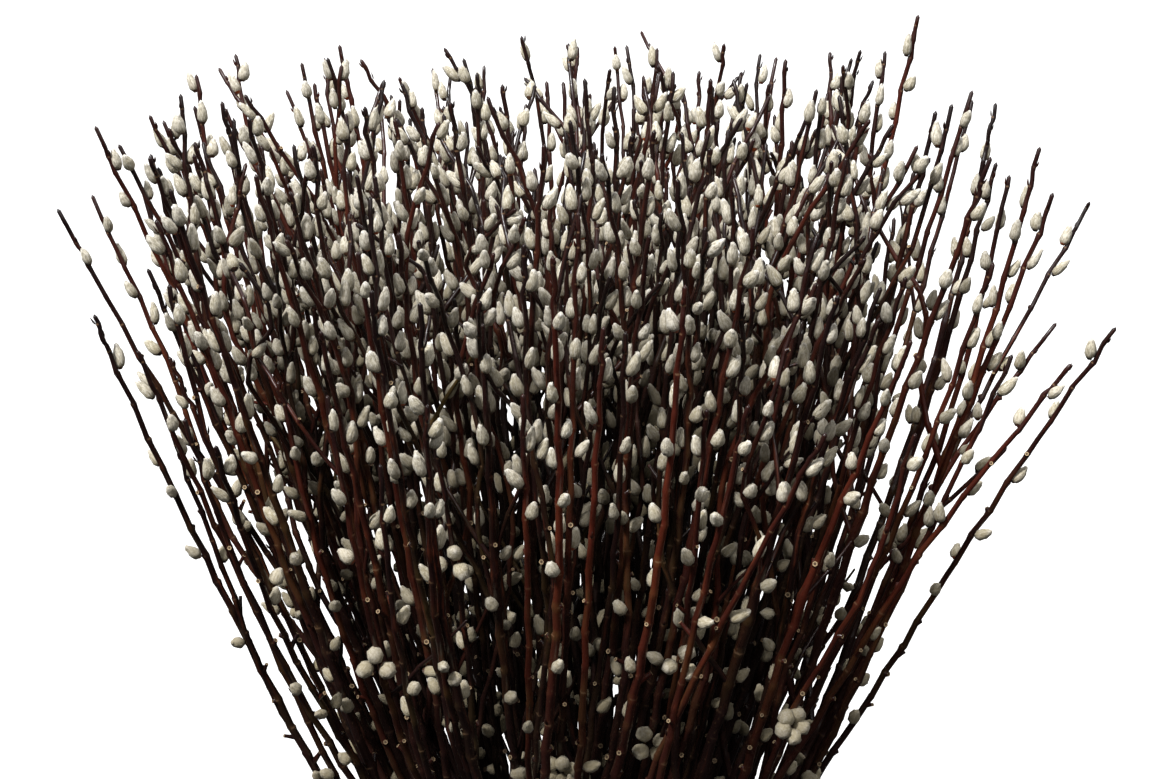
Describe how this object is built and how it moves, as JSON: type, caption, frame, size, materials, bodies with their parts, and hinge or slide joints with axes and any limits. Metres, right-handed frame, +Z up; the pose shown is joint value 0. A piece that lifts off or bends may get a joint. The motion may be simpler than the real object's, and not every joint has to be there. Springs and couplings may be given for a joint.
{
  "type": "pussy willow bunch",
  "caption": "Tied bunch of cut pussy willow that stands on its cut ends: red-brown rods with side rods and silver catkins fan out above a twine binding and splay again below it.",
  "frame": {"origin": "middle of the centre rod's level cut end, on the surface the bunch stands on", "axes": "+Z up along the bunch, -Y towards the side with the knot, which is the side the picture shows"},
  "size_m": [0.6802, 0.6971, 1.0403],
  "materials": {
    "bark": "smooth semi-gloss red-brown willow bark, near black on the thin tips",
    "catkin": "soft silver-grey fur of the catkins",
    "twine": "matt natural twisted twine"
  },
  "bodies": {
    "root": {"branch_01": "bark", "branch_02": "bark", "branch_03": "bark", "branch_04": "bark", "branch_05": "bark", "branch_06": "bark", "branch_07": "bark", "branch_08": "bark", "branch_09": "bark", "branch_10": "bark", "branch_11": "bark", "branch_12": "bark", "branch_13": "bark", "branch_14": "bark", "branch_15": "bark", "branch_16": "bark", "branch_17": "bark", "branch_18": "bark", "branch_19": "bark", "branch_20": "bark", "branch_21": "bark", "branch_22": "bark", "branch_23": "bark", "branch_24": "bark", "branch_25": "bark", "branch_26": "bark", "branch_27": "bark", "branch_28": "bark", "branch_29": "bark", "branch_30": "bark", "branch_31": "bark", "branch_32": "bark", "branch_33": "bark", "branch_34": "bark", "branch_35": "bark", "branch_36": "bark", "branch_37": "bark", "branch_38": "bark", "branch_39": "bark", "branch_40": "bark", "branch_41": "bark", "branch_42": "bark", "branch_43": "bark", "branch_44": "bark", "branch_45": "bark", "branch_46": "bark", "branch_47": "bark", "branch_48": "bark", "branch_49": "bark", "branch_50": "bark", "branch_51": "bark", "branch_52": "bark", "branch_53": "bark", "branch_54": "bark", "branch_55": "bark", "branch_56": "bark", "branch_57": "bark", "tie_twine": "twine"}
  },
  "joints": []
}
